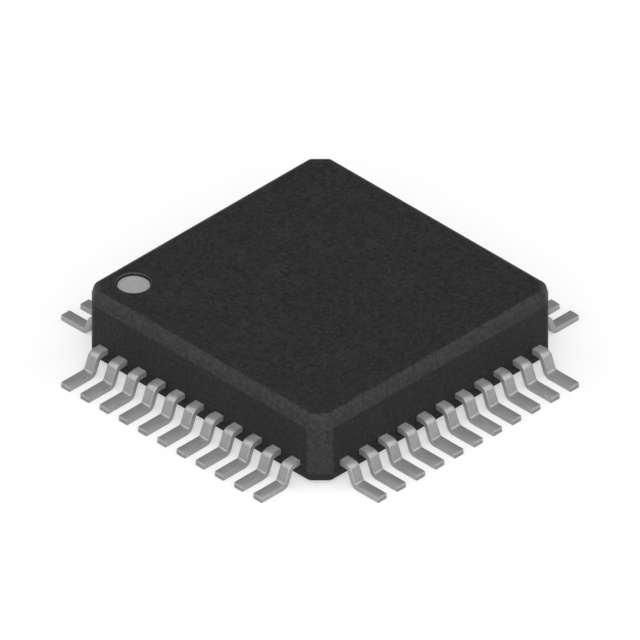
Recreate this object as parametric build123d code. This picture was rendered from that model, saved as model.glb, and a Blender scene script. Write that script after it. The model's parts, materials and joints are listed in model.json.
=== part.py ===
from build123d import *
import math
import os

# A surface-mount integrated circuit in a square, flat, black plastic package with rows of bent leads on
# all four sides. Lengths are in millimetres and angles in degrees. The origin is the centre of the
# footprint on the board, +Z points up, and heights are measured from the board.

# Rows of leads. Leads are numbered counter-clockwise seen from above, from the marked corner (-X, -Y).
SIDES = 4
leads_per_side = 11
lead_pitch = 0.8
row_end_margin = 1.0  # from the centre of a row's last lead to the end of that side of the body

# Outer lead: a flat strip, bent twice into a gull wing.
lead_reach = 1.6  # from the body's wall to the lead's tip
lead_width = 0.36
lead_thickness = 0.19
foot_length = 0.88  # flat stretch that is soldered to the board
shoulder_height = 0.755  # top of the flat stretch where the lead leaves the body
slope_angle = 68.5
bend_radius = 0.10  # inside of both bends

# Moulded body.
body_height = 2.43
standoff = 0.10  # air under the body
corner_chamfer = 0.5
corner_round = 0.25
draft_angle = 15.0
crown_height = 0.40  # drafted band below the top face
base_height = 0.30  # drafted band above the bottom face
top_edge_round = 0.25
bottom_edge_round = 0.10

# Mark beside lead 1: a shallow round recess with a pale ink dot on its floor.
mark_from_end = 1.0  # in line with the first lead
mark_from_wall = 1.25
mark_radius = 0.525
mark_depth = 0.12
ink_thickness = 0.03
ink_gap = 0.01  # between the dot and the recess's wall

# Shallow round print that the mould's ejector pin leaves in the middle of the underside.
ejector_radius = 1.0
ejector_depth = 0.05

# Chip, the paddle that carries it, and the glue between them.
die_side = 3.8
die_thickness = 0.35
glue_thickness = 0.04
glue_fillet = 0.08  # glue standing out past the chip's edge
paddle_margin = 0.5  # from the chip's edge to the paddle's edge
paddle_downset = 0.15  # paddle's level under the leads' level

# Tie bars, which hold the paddle from the four corners.
tie_width = 0.20
tie_ramp_start = 0.25  # from the paddle's corner to the foot of the ramp
tie_ramp_length = 0.20
tie_cover = 0.30  # plastic left between the bar's end and the corner face
tie_clearance = 0.16  # from a bar's side to the nearest lead tip

# Inner leads, which fan in from the wall to the paddle.
anchor_length = 0.45  # straight stretch just inside the wall
tip_width = 0.26
tip_length = 0.45
paddle_gap = 0.40  # from the paddle's edge to the tips

# Bond wires, drawn square in section because they are far too thin for the difference to show.
wire_thickness = 0.03
bond_inset = 0.12  # from the chip's edge to a wire's foot
bond_row_margin = 0.40  # from the chip's corner to the last wire's foot, along the edge
wire_rise = 0.20
wire_crest = 0.35  # level stretch at the top of the loop
stitch_inset = 0.10  # from the lead's tip to the wire's end
stitch_length = 0.12  # stretch of wire pressed flat onto the lead

# Sizes that follow from those above.
row_half = (leads_per_side - 1) * lead_pitch / 2
body_half = row_half + row_end_margin
body_side = 2 * body_half
lead_floor = shoulder_height - lead_thickness

wall_base = standoff + base_height
wall_top = body_height - crown_height

die_half = die_side / 2
paddle_half = die_half + paddle_margin
paddle_top = shoulder_height - paddle_downset
glue_top = paddle_top + glue_thickness
die_top = glue_top + die_thickness

tip_reach = paddle_half + paddle_gap
fan_reach = body_half - anchor_length
tip_row_edge = tip_reach - math.sqrt(2) * (tie_width / 2 + tie_clearance)
tip_pitch = 2 * (tip_row_edge - tip_width / 2) / (leads_per_side - 1)

bond_row_half = die_half - bond_row_margin
bond_pitch = 2 * bond_row_half / (leads_per_side - 1)


def side_turn(side):
    """Turn from the +X side, where a row is drawn, to a side counted from the front (-Y)."""
    return Rot(0, 0, (side - 1) * 360 / SIDES)


def from_middle(index):
    """How many leads away from the middle of its row a lead stands."""
    return index - (leads_per_side - 1) / 2


def body_outline():
    """Square with chamfered corners, each rounded where it meets a wall."""
    square = Rectangle(body_side, body_side)
    chamfered = chamfer(square.vertices(), corner_chamfer)
    return fillet(chamfered.vertices(), corner_round)


def moulded_blank():
    """The plastic's outer form: an upright wall between a drafted crown and a drafted base."""
    outline = body_outline()
    wall = extrude(Plane.XY.offset(wall_base) * outline, amount=wall_top - wall_base)
    crown = extrude(Plane.XY.offset(wall_top) * outline, amount=crown_height, taper=draft_angle)
    base = mirror(extrude(outline, amount=base_height, taper=draft_angle), about=Plane.XY)
    blank = wall + crown + Pos(0, 0, wall_base) * base
    top_face = blank.faces().sort_by(Axis.Z)[-1]
    blank = fillet(top_face.edges(), top_edge_round)
    bottom_face = blank.faces().sort_by(Axis.Z)[0]
    return fillet(bottom_face.edges(), bottom_edge_round)


def mark_place():
    """Where the mark beside lead 1 is centred, on the top face."""
    return Pos(mark_from_end - body_half, mark_from_wall - body_half, body_height)


def mark_recess():
    """The space of the round recess beside lead 1."""
    down = (Align.CENTER, Align.CENTER, Align.MAX)
    return mark_place() * Cylinder(mark_radius, mark_depth, align=down)


def ejector_print():
    """The space of the round print underneath."""
    up = (Align.CENTER, Align.CENTER, Align.MIN)
    return Pos(0, 0, standoff) * Cylinder(ejector_radius, ejector_depth, align=up)


def pin_one_mark():
    """Pale ink dot on the floor of the recess."""
    up = (Align.CENTER, Align.CENTER, Align.MIN)
    return mark_place() * Pos(0, 0, -mark_depth) * Cylinder(mark_radius - ink_gap, ink_thickness, align=up)


def gull_wing_profile():
    """Side view of the outer lead, X outwards and Z up: a strip of even thickness with two round bends."""
    outer_radius = bend_radius + lead_thickness
    tip = body_half + lead_reach
    foot_start = tip - foot_length
    half_turn = math.tan(math.radians(slope_angle / 2))
    heel = foot_start - bend_radius * half_turn
    slope_run = (shoulder_height - lead_thickness) / math.tan(math.radians(slope_angle))
    knee = heel - slope_run
    thickness_shift = lead_thickness * half_turn

    upper = FilletPolyline(
        (fan_reach, shoulder_height), (knee, shoulder_height), (heel, lead_thickness), (tip, lead_thickness),
        radius=[outer_radius, bend_radius],
    )
    lower = FilletPolyline(
        (fan_reach, lead_floor), (knee - thickness_shift, lead_floor), (heel - thickness_shift, 0), (tip, 0),
        radius=[bend_radius, outer_radius],
    )
    ends = [Line(upper @ 0, lower @ 0), Line(upper @ 1, lower @ 1)]
    return make_face([*upper.edges(), *lower.edges(), *ends])


def outer_lead():
    """Bent outer lead on the +X side's middle line, with its flat root inside the wall."""
    upright = Plane.XZ * gull_wing_profile()
    return extrude(upright, amount=lead_width / 2, both=True)


def inner_lead(index):
    """Flat inner lead on the +X side, which slants from its place in the wall to its place by the paddle."""
    root_y = from_middle(index) * lead_pitch
    tip_y = from_middle(index) * tip_pitch
    neck_reach = tip_reach + tip_length
    outline = Polyline(
        (fan_reach, root_y - lead_width / 2), (fan_reach, root_y + lead_width / 2),
        (neck_reach, tip_y + tip_width / 2), (tip_reach, tip_y + tip_width / 2),
        (tip_reach, tip_y - tip_width / 2), (neck_reach, tip_y - tip_width / 2),
        close=True,
    )
    return extrude(Pos(0, 0, lead_floor) * make_face(outline), amount=lead_thickness)


def lead(outer, side, index):
    """One whole lead, from its tip by the paddle to its soldered foot."""
    root = Pos(0, from_middle(index) * lead_pitch, 0)
    return side_turn(side) * (root * outer + inner_lead(index))


def tie_bar():
    """Bar along +X from under the paddle's corner up to the leads' level, stopping inside the body's corner."""
    paddle_corner = paddle_half * math.sqrt(2)
    ramp_start = paddle_corner + tie_ramp_start
    ramp_end = ramp_start + tie_ramp_length
    corner_face = (2 * body_half - corner_chamfer) / math.sqrt(2)
    bar_end = corner_face - tie_cover
    paddle_floor = paddle_top - lead_thickness
    profile = Polyline(
        (paddle_half, paddle_top), (ramp_start, paddle_top),
        (ramp_end, shoulder_height), (bar_end, shoulder_height),
        (bar_end, lead_floor), (ramp_end, lead_floor),
        (ramp_start, paddle_floor), (paddle_half, paddle_floor),
        close=True,
    )
    return extrude(Plane.XZ * make_face(profile), amount=tie_width / 2, both=True)


def die_paddle():
    """Sunk paddle under the chip, in one piece with its four tie bars."""
    paddle = Rectangle(2 * paddle_half, 2 * paddle_half)
    plate = extrude(Pos(0, 0, paddle_top) * paddle, amount=-lead_thickness)
    bar = tie_bar()
    diagonal = 360 / SIDES / 2
    return plate + [Rot(0, 0, diagonal + side * 360 / SIDES) * bar for side in range(SIDES)]


def die_glue():
    """Thin pad of glue between paddle and chip."""
    glue_side = die_side + 2 * glue_fillet
    return extrude(Pos(0, 0, paddle_top) * Rectangle(glue_side, glue_side), amount=glue_thickness)


def silicon_die():
    """The chip itself."""
    return extrude(Pos(0, 0, glue_top) * Rectangle(die_side, die_side), amount=die_thickness)


def bond_wire(index):
    """Looped wire on the +X side, from its foot on the chip up, across and down onto its lead's tip."""
    foot = Vector(die_half - bond_inset, from_middle(index) * bond_pitch, die_top)
    stitch_end = Vector(tip_reach + stitch_inset + stitch_length, from_middle(index) * tip_pitch, 0)
    heading = Vector(stitch_end.X - foot.X, stitch_end.Y - foot.Y, 0).normalized()
    end = Vector(stitch_end.X, stitch_end.Y, shoulder_height + wire_thickness / 2)
    crest = foot + Vector(0, 0, wire_rise)
    route = Polyline(foot, crest, crest + heading * wire_crest, end - heading * stitch_length, end)
    section = Plane(origin=foot, x_dir=heading, z_dir=(0, 0, 1)) * Rectangle(wire_thickness, wire_thickness)
    return sweep(section, path=route, transition=Transition.RIGHT)


def bond_wires(side):
    """All the wires of one side, each a solid of its own."""
    return [side_turn(side) * bond_wire(index) for index in range(leads_per_side)]


def mould_body(inner_pieces):
    """The plastic, moulded round everything that it holds."""
    blank = moulded_blank() - mark_recess() - ejector_print()
    return blank - inner_pieces


def all_leads():
    """Every lead by its node's name, in counting order."""
    outer = outer_lead()
    places = [(side, index) for side in range(SIDES) for index in range(leads_per_side)]
    return {f"lead_{number:02d}": lead(outer, *place) for number, place in enumerate(places, start=1)}


side_names = ["front", "right", "back", "left"]
leads = all_leads()
wires = {f"bond_wires_{name}": bond_wires(side) for side, name in enumerate(side_names)}
core = {"die_paddle": die_paddle(), "die_glue": die_glue(), "silicon_die": silicon_die()}

moulded_in = [*leads.values(), *core.values()]
for row in wires.values():
    moulded_in += row

parts = {"mould_body": mould_body(moulded_in), "pin_one_mark": pin_one_mark()}
parts |= core
parts |= leads
parts |= {name: Compound(children=row) for name, row in wires.items()}

os.makedirs("parts", exist_ok=True)
for name, part in parts.items():
    export_step(part, f"parts/{name}.step")

print(f"{len(parts)} nodes, {2 * (body_half + lead_reach):.1f} mm across the leads, {body_height:.2f} mm high")
print(f"inner lead tips: pitch {tip_pitch:.3f} mm, gap {tip_pitch - tip_width:.3f} mm")
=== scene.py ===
# %% [markdown]
# The object is a surface-mount integrated circuit in a flat square package: a black plastic body, ten
# millimetres across, with a row of bent, tin-plated leads on each side. Its solids come ready from a CAD
# model. This notebook gives them their finishes, softens the edges of the leads, stands the part on a pale
# table and lights it.
#
# Blender counts in metres, so a body this small is a hundredth of a unit across. We therefore write sizes in
# millimetres and multiply by one constant.

# %% Load the solids
import json
import math

import bpy
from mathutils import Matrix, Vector


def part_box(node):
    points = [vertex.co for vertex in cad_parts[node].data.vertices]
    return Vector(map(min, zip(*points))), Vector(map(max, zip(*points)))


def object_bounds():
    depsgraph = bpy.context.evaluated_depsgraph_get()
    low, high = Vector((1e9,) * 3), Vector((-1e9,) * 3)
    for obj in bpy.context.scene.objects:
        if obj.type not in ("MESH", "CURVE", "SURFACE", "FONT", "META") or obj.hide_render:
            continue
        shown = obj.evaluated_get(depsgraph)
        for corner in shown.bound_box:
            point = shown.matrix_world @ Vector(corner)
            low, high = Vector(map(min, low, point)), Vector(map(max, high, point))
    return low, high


MM = 0.001

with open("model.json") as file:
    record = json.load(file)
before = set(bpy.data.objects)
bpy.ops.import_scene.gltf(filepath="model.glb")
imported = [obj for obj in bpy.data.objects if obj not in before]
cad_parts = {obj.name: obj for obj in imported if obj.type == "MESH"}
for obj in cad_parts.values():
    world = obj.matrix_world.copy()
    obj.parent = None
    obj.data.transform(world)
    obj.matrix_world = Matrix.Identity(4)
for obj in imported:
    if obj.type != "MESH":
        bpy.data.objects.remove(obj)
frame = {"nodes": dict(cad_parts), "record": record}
nodes = frame["nodes"]
cad_low, cad_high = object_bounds()
size = (cad_high - cad_low) / MM
print(f"{len(nodes)} solids, {size.x:.2f} x {size.y:.2f} x {size.z:.2f} mm")

# %% [markdown]
# The picture that we follow is an isometric drawing: parallel projection, an eighth of a turn round from the
# front and tilted so that the three axes are foreshortened alike. A perspective camera far away would come
# close, but an orthographic one is exact. The tilt follows from the projection itself, because the camera
# looks along the diagonal of a cube. Only two sizes had to be measured: how many millimetres the picture
# covers, and at which height its middle lies. At this scale the near clip has to come in too.

# %% Isometric camera
VIEW_TURN = math.radians(45)
VIEW_TILT = math.atan(1 / math.sqrt(2))
PICTURE_WIDTH = 18.83 * MM
PICTURE_MIDDLE = 1.218 * MM
CAMERA_DISTANCE = 80 * MM


def direction(turn, tilt):
    """Unit vector from the part towards something seen at that turn from the front and that tilt."""
    level = math.cos(tilt)
    return Vector((math.sin(turn) * level, -math.cos(turn) * level, math.sin(tilt)))


def facing_back(towards):
    """Rotation of a camera or lamp that stands in that direction and looks at the part."""
    return (-towards).to_track_quat("-Z", "Y").to_euler()


def place_camera():
    data = bpy.data.cameras.new("isometric")
    data.type = "ORTHO"
    data.ortho_scale = PICTURE_WIDTH
    data.clip_start = MM
    camera = bpy.data.objects.new("isometric", data)
    towards = direction(VIEW_TURN, VIEW_TILT)
    camera.location = Vector((0, 0, PICTURE_MIDDLE)) + towards * CAMERA_DISTANCE
    camera.rotation_euler = facing_back(towards)
    bpy.context.scene.collection.objects.link(camera)
    return camera


bpy.context.scene.camera = place_camera()
print(f"camera tilted {math.degrees(VIEW_TILT):.2f} degrees, picture {PICTURE_WIDTH / MM:.2f} mm wide")

# %% [markdown]
# Every finish here is a small network of nodes. Linking each node by hand hides what the network does, so a
# short class adds a node, sets what is constant on it and links what is not. A value may be a number, a
# colour or another node's output.

# %% Add and link nodes


class Network:
    """A node tree with a short way to add nodes to it."""

    def __init__(self, tree):
        self.tree = tree
        tree.nodes.clear()

    def add(self, kind, settings=None, **inputs):
        """New node. Settings are its own properties, and inputs are sockets by name."""
        node = self.tree.nodes.new(kind)
        for name, value in (settings or {}).items():
            setattr(node, name, value)
        for name, value in inputs.items():
            self.set(node, name.replace("_", " "), value)
        return node

    def set(self, node, socket, value):
        """Sets or links a socket, which is given by name or number."""
        target = node.inputs[socket]
        if isinstance(value, bpy.types.NodeSocket):
            self.tree.links.new(value, target)
        else:
            target.default_value = value

    def math(self, operation, first, second=0.0):
        node = self.add("ShaderNodeMath", {"operation": operation})
        self.set(node, 0, first)
        self.set(node, 1, second)
        return node.outputs[0]

    def show(self, shader, kind="ShaderNodeOutputMaterial"):
        """Connects a shader to the tree's output."""
        self.add(kind, Surface=shader.outputs[0])


def new_material(name):
    material = bpy.data.materials.new(name)
    material.use_nodes = True
    return material, Network(material.node_tree)


print("every material starts as an empty", Network.__name__.lower())

# %% [markdown]
# A few more helpers turn one range of numbers into another, mix two values and make greys. Most of what we
# vary is a noise, and Blender's noise mostly stays between 0.3 and 0.7, so `vary` spreads that stretch.

# %% Ranges, mixes and greys
NOISE_LOW = 0.3
NOISE_HIGH = 0.7


def ramp(net, value, low, high, start=0.0, end=1.0):
    """Maps value from start..end to low..high and clamps it there."""
    node = net.add("ShaderNodeMapRange", Value=value)
    for name, number in (("From Min", start), ("From Max", end), ("To Min", low), ("To Max", high)):
        net.set(node, name, number)
    return node.outputs["Result"]


def vary(net, noise_value, low, high):
    return ramp(net, noise_value, low, high, NOISE_LOW, NOISE_HIGH)


def mixed(net, share, plain, other):
    """Plain where share is 0, other where it is 1."""
    return net.add("ShaderNodeMix", Factor=share, A=plain, B=other).outputs["Result"]


def grey(net, tone, blue=1.0):
    """Neutral colour of that tone, a touch cool where blue is over 1."""
    cool = net.math("MULTIPLY", tone, blue)
    return net.add("ShaderNodeCombineColor", Red=tone, Green=tone, Blue=cool).outputs[0]


print("noise is read from", NOISE_LOW, "to", NOISE_HIGH)

# %% [markdown]
# All textures are read from the object's own coordinates in millimetres. A grain of 22 to the millimetre is
# then written as 22, and it stays on the part when the camera moves. Squeezing the coordinates along one
# axis draws the pattern out along it, which is how a brushed or rolled surface is made.

# %% Textures in millimetres


def millimetres(net, stretch=(1, 1, 1)):
    """The point's place on the part, in millimetres, times stretch along each axis."""
    place = net.add("ShaderNodeTexCoord").outputs["Object"]
    scale = tuple(factor / MM for factor in stretch)
    return net.add("ShaderNodeMapping", Vector=place, Scale=scale).outputs["Vector"]


def noise(net, place, per_mm, detail=2.0, roughness=0.5):
    node = net.add("ShaderNodeTexNoise", Vector=place, Scale=per_mm, Detail=detail, Roughness=roughness)
    return node.outputs["Fac"]


def bumped(net, height, peak):
    """Normal of a surface whose height texture, from 0 to 1, is that high in metres."""
    return net.add("ShaderNodeBump", Height=height, Distance=peak, Strength=1.0).outputs["Normal"]


print(f"a texture reads places that were multiplied by {1 / MM:.0f}")

# %% [markdown]
# Chips travel in trays and tubes, and what rubs there is never the flat of a face but its rounded edges,
# chamfers and leaning walls. On the plastic these faces are also paler, partly as worn plastic and partly
# as a painted highlight, because faces turned towards the light catch more of it. To find those places, look
# at which way the surface faces: flat tops and walls face along one of the three axes. The longest part of
# the normal is 1 there, and it falls to the cosine of the angle as the face turns away. Painting the worn
# edges and the highlight by hand would look as good from one side, but a mask that reads the shape holds
# for all of them. What faces down is left out and stays as moulded.

# %% A mask for worn faces and the painted highlight
FULL_LEAN = math.radians(16)
FACES_DOWN = -0.2  # upward part of the normal where a face counts as facing down
FACES_SIDEWAYS = -0.05


def turned_faces(net):
    """0 on faces that face along an axis or down, and 1 on those turned by the full lean or more."""
    facing = net.add("ShaderNodeNewGeometry").outputs["Normal"]
    parts = net.add("ShaderNodeSeparateXYZ", Vector=facing).outputs
    lengths = [net.math("ABSOLUTE", parts[axis]) for axis in "XYZ"]
    longest = net.math("MAXIMUM", net.math("MAXIMUM", lengths[0], lengths[1]), lengths[2])
    turned = ramp(net, longest, 1.0, 0.0, math.cos(FULL_LEAN), 1.0)
    not_down = ramp(net, parts["Z"], 0.0, 1.0, FACES_DOWN, FACES_SIDEWAYS)
    return net.math("MULTIPLY", turned, not_down)


print(f"at the full lean the longest part of the normal is {math.cos(FULL_LEAN):.3f}")

# %% [markdown]
# The dot beside lead 1 lies in a shallow moulded dimple, where nothing rubs it off. Both the plastic and the
# ink have to know how far a point is from the middle of the dot. We could write its place down a second
# time, but the record says which solid is inked, and the box of that solid tells where its middle is and how
# wide it is.

# %% Distance from the middle of the dot
SLOT_OF = {part["node"]: part["material_slot"] for part in frame["record"]["subparts"]}
DOT = next(name for name, slot in SLOT_OF.items() if slot == "mark_ink")
dot_low, dot_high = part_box(DOT)
DOT_MIDDLE = (dot_low + dot_high) / 2 / MM
DOT_RADIUS = (dot_high.x - dot_low.x) / 2 / MM


def from_dot(net, place):
    """Distance from the middle of the dot, in millimetres."""
    away = net.add("ShaderNodeVectorMath", {"operation": "DISTANCE"})
    net.set(away, 0, place)
    net.set(away, 1, DOT_MIDDLE)
    return away.outputs["Value"]


print(f"{DOT} has a radius of {DOT_RADIUS:.3f} mm and lies {cad_high.z / MM - DOT_MIDDLE.z:.2f} mm deep")

# %% [markdown]
# The upper part of the dimple's wall is painted a paler grey. That is a painted highlight: the wall that
# faces the camera and the lamp behind it would catch more light than the flat top. From the picture's angle
# that highlight is all that shows how deep the dimple is. It is a matter of distance and height, so it needs
# no geometry of its own. Its lower edge wavers, because a straight one would look machined.

# %% Painted highlight on the dimple's wall
DIMPLE_MARGIN = 0.025
WALL_HIGHLIGHT_TONE = 0.062
HIGHLIGHT_FOOT = 0.040
WALL_BLUR = 0.010
HIGHLIGHT_WAVER = 0.012
HIGHLIGHT_WAVES_PER_MM = 4


def in_dimple(net, place):
    """1 on the wall and floor of the dimple, and 0 elsewhere."""
    edge = DOT_RADIUS + DIMPLE_MARGIN
    return ramp(net, from_dot(net, place), 1.0, 0.0, edge, edge + WALL_BLUR)


def painted_wall_highlight(net, place, dimple):
    """Tone that the painted highlight adds on the dimple's wall, from its uneven foot above the dot to the
    top.
    """
    height = net.add("ShaderNodeSeparateXYZ", Vector=place).outputs["Z"]
    waver = vary(net, noise(net, place, HIGHLIGHT_WAVES_PER_MM), -HIGHLIGHT_WAVER, HIGHLIGHT_WAVER)
    foot = dot_high.z / MM + HIGHLIGHT_FOOT
    highlight = ramp(net, net.math("ADD", height, waver), 0.0, WALL_HIGHLIGHT_TONE, foot, foot + WALL_BLUR)
    return net.math("MULTIPLY", dimple, highlight)


print(f"the film starts {HIGHLIGHT_FOOT:.2f} mm above the dot")

# %% [markdown]
# The body is black epoxy filled with fine quartz, so a plain dark colour would look like card. Its tone is a
# little lighter on the peaks of its grain and drifts by a few percent over a face, as the resin flowed. A
# few quartz grains lie near the skin, drawn as pale specks with a Voronoi texture. Rounded edges and leaning
# walls are paler than the rest, partly as worn plastic and partly as a painted highlight. A painted image
# could hold all this too, but a sum of noises has no seams and stays sharp in a close view.

# %% Tone of the black compound
PLASTIC_TONE = 0.020
GRAIN_MIDDLE = (0.4, 0.6)  # a mix of two noises stays nearer the middle than one
GRAIN_SHADES = (0.65, 1.35)
FLOW_PER_MM = 0.6
FLOW_SHADES = (0.92, 1.08)
SPECKS_PER_MM = 6
SPECK_SIZE = 0.16
SPECK_TONE = 0.024
WEAR_AND_HIGHLIGHT_TONE = 0.014
WEAR_AND_HIGHLIGHT_SHADES = (0.7, 1.3)


def plastic_tone(net, place, grain, worn_and_highlit):
    """Tone of the plastic: grain and flow, plus pale specks, and worn faces with a painted highlight."""
    flow = noise(net, place, FLOW_PER_MM, detail=4.0)
    tone = net.math("MULTIPLY", ramp(net, grain, *GRAIN_SHADES, *GRAIN_MIDDLE), PLASTIC_TONE)
    tone = net.math("MULTIPLY", tone, vary(net, flow, *FLOW_SHADES))
    to_speck = net.add("ShaderNodeTexVoronoi", Vector=place, Scale=SPECKS_PER_MM).outputs["Distance"]
    speck = ramp(net, to_speck, SPECK_TONE, 0.0, SPECK_SIZE / 2, SPECK_SIZE)
    # painted highlight, partly worn plastic: turned faces get a paler tone
    paler_low, paler_high = [shade * WEAR_AND_HIGHLIGHT_TONE for shade in WEAR_AND_HIGHLIGHT_SHADES]
    wear_and_highlight = net.math("MULTIPLY", worn_and_highlit, vary(net, grain, paler_low, paler_high))
    return net.math("ADD", net.math("ADD", tone, speck), wear_and_highlight)


print(f"plastic tone {PLASTIC_TONE}, and {WEAR_AND_HIGHLIGHT_TONE} more where it is rubbed")

# %% [markdown]
# The steel mould's walls are eroded by sparks, which leaves an even, matte grain on the plastic. Here it is
# a bump of two noises, one fine and one coarse, because a single size looks printed. True geometry for
# grains of a few hundredths of a millimetre would take millions of faces. Rubbed places are slightly
# smoother, and the dimple is kept out of them, because nothing rubs in there. The specular level is low,
# because a rough filled epoxy scatters nearly all that it throws back.

# %% Black moulding compound
FINE_GRAIN_PER_MM = 22
COARSE_GRAIN_PER_MM = 8
GRAIN_HEIGHT = 0.030 * MM
PLASTIC_ROUGHNESS = (0.52, 0.66)
RUBBED_POLISH = 0.08
PLASTIC_SPECULAR = 0.1
PLASTIC_BLUE = 1.02


def moulded_plastic():
    material, net = new_material("black_compound")
    place = millimetres(net)
    fine = noise(net, place, FINE_GRAIN_PER_MM, roughness=0.6)
    coarse = noise(net, place, COARSE_GRAIN_PER_MM)
    grain = mixed(net, 0.5, fine, coarse)
    dimple = in_dimple(net, place)
    # mask for the worn faces and their painted highlight, kept out of the dimple
    worn_and_highlit = net.math("MULTIPLY", turned_faces(net), net.math("SUBTRACT", 1.0, dimple))
    # painted highlight on the dimple's wall, added to the tone
    tone = net.math("ADD", plastic_tone(net, place, grain, worn_and_highlit), painted_wall_highlight(net, place, dimple))
    polish = net.math("MULTIPLY", worn_and_highlit, RUBBED_POLISH)
    roughness = net.math("SUBTRACT", vary(net, grain, *PLASTIC_ROUGHNESS), polish)
    shader = net.add("ShaderNodeBsdfPrincipled", Roughness=roughness, Normal=bumped(net, grain, GRAIN_HEIGHT))
    net.set(shader, "Base Color", grey(net, tone, PLASTIC_BLUE))
    net.set(shader, "Specular IOR Level", PLASTIC_SPECULAR)
    net.show(shader)
    return material


plastic = moulded_plastic()
print(plastic.name, "is a network of", len(plastic.node_tree.nodes), "nodes")

# %% [markdown]
# Each lead is a strip of copper alloy, plated with matte tin after moulding, then cut and bent in a press.
# Tin grows as fine crystals, which scatter light, so the roughness is middling, and a broad cloudy noise
# makes the tone uneven as a plating bath does. Rolling and forming leave faint lines that run along the
# lead, and those come from a noise drawn out along it. On the bends and the slope the forming tool wiped
# the strip, so it is smoother there, and the mask from above finds those faces as well.

# %% Skin of the plated leads
TIN_TONE = 0.37
CRYSTALS_PER_MM = 26
CRYSTAL_SHADES = (0.90, 1.08)
CLOUDS_PER_MM = 1.7
CLOUD_SHADES = (0.93, 1.07)
LINES_PER_MM = 18
LINE_STRETCH = 0.05
LINE_ROUGHNESS = (0.46, 0.60)
WIPED_POLISH = 0.16


def rolled_lines(net, along):
    """Noise that varies across a lead and hardly along it, on its flats as on its slope."""
    across = "Y" if along == "X" else "X"
    stretch = [1 if axis == across else LINE_STRETCH for axis in "XYZ"]
    return noise(net, millimetres(net, stretch), LINES_PER_MM)


def tin_skin(net, along):
    """Tone, roughness and height of the plating."""
    place = millimetres(net)
    crystals = noise(net, place, CRYSTALS_PER_MM)
    lines = rolled_lines(net, along)
    clouds = noise(net, place, CLOUDS_PER_MM)
    tone = net.math("MULTIPLY", vary(net, clouds, *CLOUD_SHADES), TIN_TONE)
    tone = net.math("MULTIPLY", tone, vary(net, crystals, *CRYSTAL_SHADES))
    polish = net.math("MULTIPLY", turned_faces(net), WIPED_POLISH)
    roughness = net.math("SUBTRACT", vary(net, lines, *LINE_ROUGHNESS), polish)
    return tone, roughness, mixed(net, 0.5, crystals, lines)


print(f"tin tone {TIN_TONE}, {CRYSTALS_PER_MM} crystals and {LINES_PER_MM} lines to the millimetre")

# %% [markdown]
# The short level shoulders beside the body are painted paler than the feet. In one tone all over, which
# would be simpler, the shoulders look too dark, because they mirror little but the black wall behind them,
# so the paler tone is a painted highlight. Two ramps find them: one looks for a face that is level, and
# the other for its height above the table.

# %% Painted highlight on the shoulders
SHOULDER_HIGHLIGHT_SHADE = 1.35  # times the tone of the feet
LEVEL_FACES = (0.90, 0.995)  # upward part of the normal
SHOULDER_BAND = 0.10
lead_names = [name for name in nodes if SLOT_OF[name] == "tinned_lead"]
SHOULDER_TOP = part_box(lead_names[0])[1].z / MM


def painted_shoulder_highlight(net):
    """1 on the level tops of the shoulders, and 0 on the rest of a lead."""
    facing = net.add("ShaderNodeNewGeometry").outputs["Normal"]
    upward = net.add("ShaderNodeSeparateXYZ", Vector=facing).outputs["Z"]
    height = net.add("ShaderNodeSeparateXYZ", Vector=millimetres(net)).outputs["Z"]
    level = ramp(net, upward, 0.0, 1.0, *LEVEL_FACES)
    high = ramp(net, height, 0.0, 1.0, SHOULDER_TOP - SHOULDER_BAND, SHOULDER_TOP)
    return net.math("MULTIPLY", level, high)


print(f"{len(lead_names)} leads, with shoulders {SHOULDER_TOP:.3f} mm above the table")

# %% [markdown]
# The press shears each lead to length from above. Under a lens such a cut has two bands: the upper one is
# burnished by the blade, and the lower one, where the metal tore, is grainy and darker. The end faces are
# easy to find, because they lie at the very edge of the part, and a height tells the bands apart. Geometry
# could show the step between them, but it is a few thousandths of a millimetre, which is bump.

# %% Shear marks on the lead ends
EDGE_RADIUS = 0.016 * MM
SHEAR_HEIGHT = 0.115
BAND_BLUR = 0.010
BAND_WAVER = 0.02
BAND_WAVES_PER_MM = 12


def cut_end(net, along):
    """1 on the end faces of leads that run along that axis, and 0 elsewhere."""
    reach = net.math("ABSOLUTE", net.add("ShaderNodeSeparateXYZ", Vector=millimetres(net)).outputs[along])
    tip = cad_high.x / MM
    rounding = EDGE_RADIUS / MM
    return ramp(net, reach, 0.0, 1.0, tip - rounding, tip - rounding / 2)


def torn_band(net, along):
    """1 on the torn lower band of the end faces. Its upper limit wavers a little."""
    place = millimetres(net)
    height = net.add("ShaderNodeSeparateXYZ", Vector=place).outputs["Z"]
    waver = vary(net, noise(net, place, BAND_WAVES_PER_MM), -BAND_WAVER, BAND_WAVER)
    wavering = net.math("ADD", height, waver)
    low = ramp(net, wavering, 1.0, 0.0, SHEAR_HEIGHT - BAND_BLUR, SHEAR_HEIGHT + BAND_BLUR)
    return net.math("MULTIPLY", low, cut_end(net, along))


print(f"the ends are sheared smooth down to {SHEAR_HEIGHT} mm above the table")

# %% [markdown]
# Now the skin, the painted highlight on the shoulders and the shear marks come together. Matte tin is
# neither mirror nor chalk, so the metal share is under 1. Two of the four rows run along X and two along Y,
# and the lines have to follow the lead, so one function makes the finish twice. Turning the texture with
# the object would do the same with one material, but the solids all share one frame and aren't turned.

# %% Matte tin along X and along Y
METAL_SHARE = 0.7
TIN_BLUE = 1.01
PLATING_RELIEF = 0.004 * MM
TORN_GRAIN_PER_MM = 40
TORN_SHADES = (0.60, 0.90)
TORN_ROUGHNESS = 0.62
TORN_HEIGHT = 2.0  # times the relief of the plating


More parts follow.
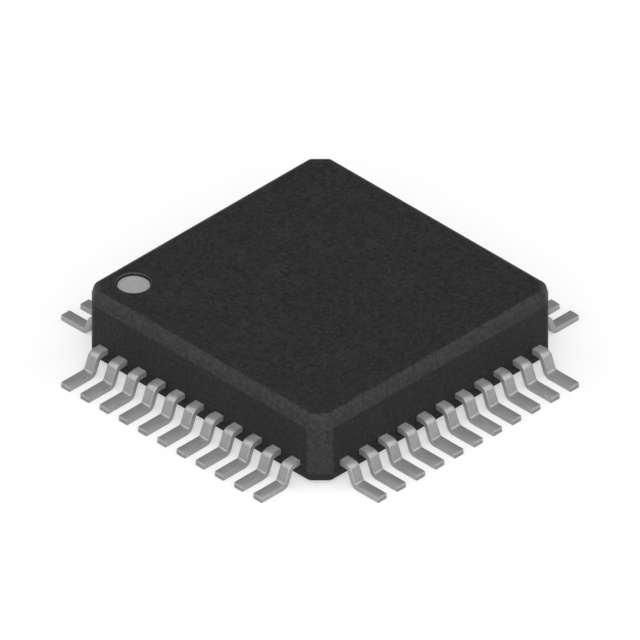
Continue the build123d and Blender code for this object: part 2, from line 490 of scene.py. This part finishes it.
def tinned_metal(name, along):
    material, net = new_material(name)
    tone, roughness, height = tin_skin(net, along)
    # painted highlight: the level shoulder tops get a paler tone
    tone = net.math("MULTIPLY", tone, ramp(net, painted_shoulder_highlight(net), 1.0, SHOULDER_HIGHLIGHT_SHADE))
    torn = torn_band(net, along)
    grain = noise(net, millimetres(net), TORN_GRAIN_PER_MM)
    torn_tone = net.math("MULTIPLY", tone, vary(net, grain, *TORN_SHADES))
    height = mixed(net, torn, height, net.math("MULTIPLY", grain, TORN_HEIGHT))
    relief = bumped(net, height, PLATING_RELIEF)
    shader = net.add("ShaderNodeBsdfPrincipled", Metallic=METAL_SHARE, Normal=relief)
    net.set(shader, "Base Color", grey(net, mixed(net, torn, tone, torn_tone), TIN_BLUE))
    net.set(shader, "Roughness", mixed(net, torn, roughness, TORN_ROUGHNESS))
    net.show(shader)
    return material


tin = {axis: tinned_metal(f"matte_tin_along_{axis.lower()}", axis) for axis in "XY"}
print("plating:", ", ".join(material.name for material in tin.values()))

# %% [markdown]
# A thin dark rim is painted round the edge of the dot, where it meets the foot of the dimple's wall: painted
# shade in that corner of the dimple. The rim could be a ring of its own, but it is far thinner than the
# picture can show, so it is a second use of the distance from the middle. A little noise keeps it from
# being a perfect circle.

# %% Rim of the dot
RIM_WIDTH = 0.030
RIM_BLUR = 0.005
RIM_WAVER = 0.006
RIM_WAVES_PER_MM = 6


def inked(net, place):
    """1 where the ink shows and 0 on the rim of painted shade."""
    edge = DOT_RADIUS - RIM_WIDTH
    waver = vary(net, noise(net, place, RIM_WAVES_PER_MM), -RIM_WAVER, RIM_WAVER)
    distance = net.math("ADD", from_dot(net, place), waver)
    return ramp(net, distance, 1.0, 0.0, edge - RIM_BLUR, edge + RIM_BLUR)


print(f"the rim is {RIM_WIDTH:.2f} mm wide")

# %% [markdown]
# The ink itself is a plain grey with a soft gloss. It is the one pale thing on the body, and its tone was
# matched to the picture. Two noises vary it: blotches where it dried at different speeds, and fine pores.
# Both of them also raise its skin a little, mostly the blotches.

# %% Pale ink
INK_TONE = 0.30
RIM_SHADE_TONE = 0.02
BLOTCHES_PER_MM = 5
BLOTCH_SHADES = (0.94, 1.06)
PORES_PER_MM = 30
PORE_SHADES = (0.94, 1.05)
PORE_SHARE = 0.3
INK_RELIEF = 0.008 * MM
INK_ROUGHNESS = 0.55
INK_SPECULAR = 0.3


def dried_ink():
    material, net = new_material("pale_ink")
    place = millimetres(net)
    blotches = noise(net, place, BLOTCHES_PER_MM)
    pores = noise(net, place, PORES_PER_MM)
    tone = net.math("MULTIPLY", vary(net, blotches, *BLOTCH_SHADES), INK_TONE)
    tone = net.math("MULTIPLY", tone, vary(net, pores, *PORE_SHADES))
    # painted shade: the rim of the dot takes a dark tone
    tone = mixed(net, inked(net, place), RIM_SHADE_TONE, tone)
    skin = bumped(net, mixed(net, PORE_SHARE, blotches, pores), INK_RELIEF)
    shader = net.add("ShaderNodeBsdfPrincipled", Base_Color=grey(net, tone), Normal=skin)
    net.set(shader, "Roughness", INK_ROUGHNESS)
    net.set(shader, "Specular IOR Level", INK_SPECULAR)
    net.show(shader)
    return material


ink = dried_ink()
print(ink.name, "tone", INK_TONE)

# %% [markdown]
# The chip, its paddle, the glue between them and the bond wires are sealed in the plastic and never seen,
# but whoever cuts the model open should find them in their own metals. One short function serves them all:
# a colour that varies with a fine noise, a roughness and a share of metal.

# %% Finishes inside the plastic
HIDDEN_FINISHES = {
    # record's slot: colour, roughness, metal
    "leadframe_alloy": ((0.72, 0.42, 0.28), 0.38, 1.0),
    "die_glue": ((0.55, 0.55, 0.53), 0.60, 0.3),
    "silicon": ((0.10, 0.11, 0.14), 0.15, 0.6),
    "gold_wire": ((0.90, 0.66, 0.22), 0.25, 1.0),
}
HIDDEN_GRAIN_PER_MM = 12
HIDDEN_SHADES = (0.9, 1.1)
ROUGHNESS_SPREAD = 0.05


def hidden_finish(slot, colour, roughness, metal):
    material, net = new_material(f"inner_{slot}")
    grain = noise(net, millimetres(net), HIDDEN_GRAIN_PER_MM)
    shade = vary(net, grain, *HIDDEN_SHADES)
    red, green, blue = [net.math("MULTIPLY", shade, level) for level in colour]
    tinted = net.add("ShaderNodeCombineColor", Red=red, Green=green, Blue=blue).outputs[0]
    varied = vary(net, grain, roughness - ROUGHNESS_SPREAD, roughness + ROUGHNESS_SPREAD)
    net.show(net.add("ShaderNodeBsdfPrincipled", Base_Color=tinted, Metallic=metal, Roughness=varied))
    return material


hidden = {slot: hidden_finish(slot, *finish) for slot, finish in HIDDEN_FINISHES.items()}
print("hidden finishes:", ", ".join(hidden))

# %% [markdown]
# The model's record says which finish each solid belongs to. For the plating we also need to know which way
# a lead runs, and its box tells: the middle of a lead that runs along X lies further out along X. Replacing
# the material on the solid's own mesh keeps the solid as it was made.

# %% Give every solid its finish
FINISHES = {"mould_compound": plastic, "mark_ink": ink, **hidden}


def runs_along(name):
    low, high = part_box(name)
    middle = (low + high) / 2
    return "X" if abs(middle.x) > abs(middle.y) else "Y"


def dress(name, solid):
    slot = SLOT_OF[name]
    material = tin[runs_along(name)] if slot == "tinned_lead" else FINISHES[slot]
    solid.data.materials.clear()
    solid.data.materials.append(material)
    return material.name


given = [dress(name, solid) for name, solid in nodes.items()]
for name in sorted(set(given)):
    print(f"{name}: {given.count(name)} solids")

# %% [markdown]
# A stamped strip never has knife edges: the punch rolls them over and the plating fills the rest. The
# rounding is a few hundredths of a millimetre, just enough to catch a thin line of light, and without it
# metal looks like paper. We could build it into the solids, but on 44 leads that costs many faces, so a
# Bevel modifier adds it on top and leaves the solids alone. Their meshes come with split corners and with
# triangles, so a Weld first joins the corners, and a planar Decimate clears the lines that cross flat faces,
# which keeps the bevel even. Weighted normals then keep the wide faces flat in the light.

# %% Soften the edges of the leads
WELD_REACH = 0.001 * MM
FLAT_ANGLE = math.radians(1)
SHARP_ANGLE = math.radians(40)
EDGE_SEGMENTS = 2


def add_modifier(solid, name, kind, **settings):
    modifier = solid.modifiers.new(name, kind)
    for setting, value in settings.items():
        setattr(modifier, setting, value)


def soften_edges(solid):
    add_modifier(solid, "join_corners", "WELD", merge_threshold=WELD_REACH)
    add_modifier(solid, "clear_flats", "DECIMATE", decimate_type="DISSOLVE", angle_limit=FLAT_ANGLE)
    add_modifier(
        solid, "round_edges", "BEVEL", width=EDGE_RADIUS, segments=EDGE_SEGMENTS,
        limit_method="ANGLE", angle_limit=SHARP_ANGLE, use_clamp_overlap=False,
    )
    add_modifier(solid, "even_normals", "WEIGHTED_NORMAL")


for name in lead_names:
    soften_edges(nodes[name])
print(len(lead_names), f"leads with edges rounded by {EDGE_RADIUS / MM:.3f} mm")

# %% [markdown]
# The table is a plain pale sheet, far larger than the part. The picture's ground is pure white, but a sheet
# that really was so bright would throw light up under the leads and wash them out. So the sheet looks paler
# than it lights: the camera, and rays that metal or plastic mirrors, see a light tone with white mixed in,
# while the light that the sheet passes on comes from a middling grey. The shadow stays on it. From below
# the sheet is clear, so that the underside of the part can be looked at.

# %% Pale sheet
BOUNCE_TONE = 0.50
SEEN_TONE = 0.92
WHITE_SHARE = 0.50
FIBRES_PER_MM = 0.8
FIBRE_SHADES = (0.985, 1.0)


def seen_directly(net):
    """1 for rays from the camera and for those that a shiny or clear surface sends on, 0 for the rest."""
    rays = net.add("ShaderNodeLightPath").outputs
    passed_on = net.math("MAXIMUM", rays["Is Glossy Ray"], rays["Is Transmission Ray"])
    return net.math("MAXIMUM", rays["Is Camera Ray"], passed_on)


def blend_shaders(net, share, first, second):
    node = net.add("ShaderNodeMixShader")
    for socket, value in enumerate((share, first.outputs[0], second.outputs[0])):
        net.set(node, socket, value)
    return node


def pale_sheet():
    material, net = new_material("pale_sheet")
    seen = seen_directly(net)
    fibres = noise(net, millimetres(net), FIBRES_PER_MM, detail=4.0)
    tone = net.math("MULTIPLY", ramp(net, seen, BOUNCE_TONE, SEEN_TONE), vary(net, fibres, *FIBRE_SHADES))
    sheet = net.add("ShaderNodeBsdfDiffuse", Color=grey(net, tone))
    white = net.add("ShaderNodeEmission", Strength=1.0)
    lit = blend_shaders(net, net.math("MULTIPLY", seen, WHITE_SHARE), sheet, white)
    below = net.add("ShaderNodeNewGeometry").outputs["Backfacing"]
    net.show(blend_shaders(net, below, lit, net.add("ShaderNodeBsdfTransparent")))
    return material


sheet = pale_sheet()
print(f"the sheet shows {SEEN_TONE} and lights as {BOUNCE_TONE}")

# %% [markdown]
# One square is enough for its mesh.

# %% Lay the floor
FLOOR_WIDTH = 600 * MM


def lay_floor():
    half = FLOOR_WIDTH / 2
    corners = [(-half, -half, 0), (half, -half, 0), (half, half, 0), (-half, half, 0)]
    mesh = bpy.data.meshes.new("floor")
    mesh.from_pydata(corners, [], [(0, 1, 2, 3)])
    mesh.materials.append(sheet)
    floor = bpy.data.objects.new("floor", mesh)
    bpy.context.scene.collection.objects.link(floor)


lay_floor()
print(f"floor {FLOOR_WIDTH / MM:.0f} mm wide")

# %% [markdown]
# The drawing shades each face by how squarely it faces the viewer, so the main lamp stands close behind the
# camera. Alone it would leave metal dull, because metal shows what it mirrors. The bends of the leads
# mirror two places, to the left and to the right at mid-height, and a broad lamp in each draws a soft line
# of light along every bend and along the rounded top edge of the body. These two also light the walls that
# the camera doesn't see. Sun lamps with a wide angle act like large, soft panels at any scale, where an area
# lamp would need its size and distance worked out again for so small a part.

# %% Lamps
LAMPS = {
    # name: turn from the front, tilt, strength, angular width; all angles in degrees
    "behind_camera": (45, 36, 2.6, 80),
    "left_panel": (309, 42, 0.8, 50),
    "right_panel": (141, 42, 0.8, 50),
}


def hang_lamp(name, turn, tilt, strength, width):
    data = bpy.data.lights.new(name, "SUN")
    data.energy = strength
    data.angle = math.radians(width)
    lamp = bpy.data.objects.new(name, data)
    lamp.rotation_euler = facing_back(direction(math.radians(turn), math.radians(tilt)))
    bpy.context.scene.collection.objects.link(lamp)


for name, settings in LAMPS.items():
    hang_lamp(name, *settings)
    print(f"{name}: strength {settings[2]}, {settings[3]} degrees wide")

# %% [markdown]
# The rest of the room is a sky whose brightness depends only on height. It is white below the horizon, so
# that a low view has no edge where the table stops. It is dim at mid-height, because the flat top of the
# plastic mirrors that part and has to stay black, and bright overhead, where the flat tops of the leads get
# their light from. A Gradient texture would need two stops, and this needs more, so it is a colour ramp.

# %% Sky
SKY = [
    # (sine of the height above the horizon, brightness)
    (-1.0, 1.0),
    (0.01, 1.0),
    (0.10, 0.45),
    (0.30, 0.22),
    (0.58, 0.15),
    (0.80, 0.22),
    (0.90, 0.55),
    (1.0, 0.90),
]


def make_sky():
    world = bpy.data.worlds.new("soft_sky")
    world.use_nodes = True
    net = Network(world.node_tree)
    heading = net.add("ShaderNodeTexCoord").outputs["Generated"]
    sine = net.add("ShaderNodeSeparateXYZ", Vector=heading).outputs["Z"]
    gradient = net.add("ShaderNodeValToRGB", Fac=ramp(net, sine, 0.0, 1.0, -1.0, 1.0))
    stops = gradient.color_ramp.elements
    for height, level in SKY[1:-1]:
        stops.new((height + 1) / 2)
    for stop, (height, level) in zip(stops, SKY):
        stop.position = (height + 1) / 2
        stop.color = (level, level, level, 1)
    glow = net.add("ShaderNodeBackground", Color=gradient.outputs["Color"], Strength=1.0)
    net.show(glow, "ShaderNodeOutputWorld")
    return world


bpy.context.scene.world = make_sky()
print("sky levels from nadir to zenith:", ", ".join(f"{level:.2f}" for height, level in SKY))

# %% [markdown]
# The Standard transform shows a colour as it is written, without a filmic tone curve.

# %% Finish
bpy.context.scene.view_settings.view_transform = "Standard"
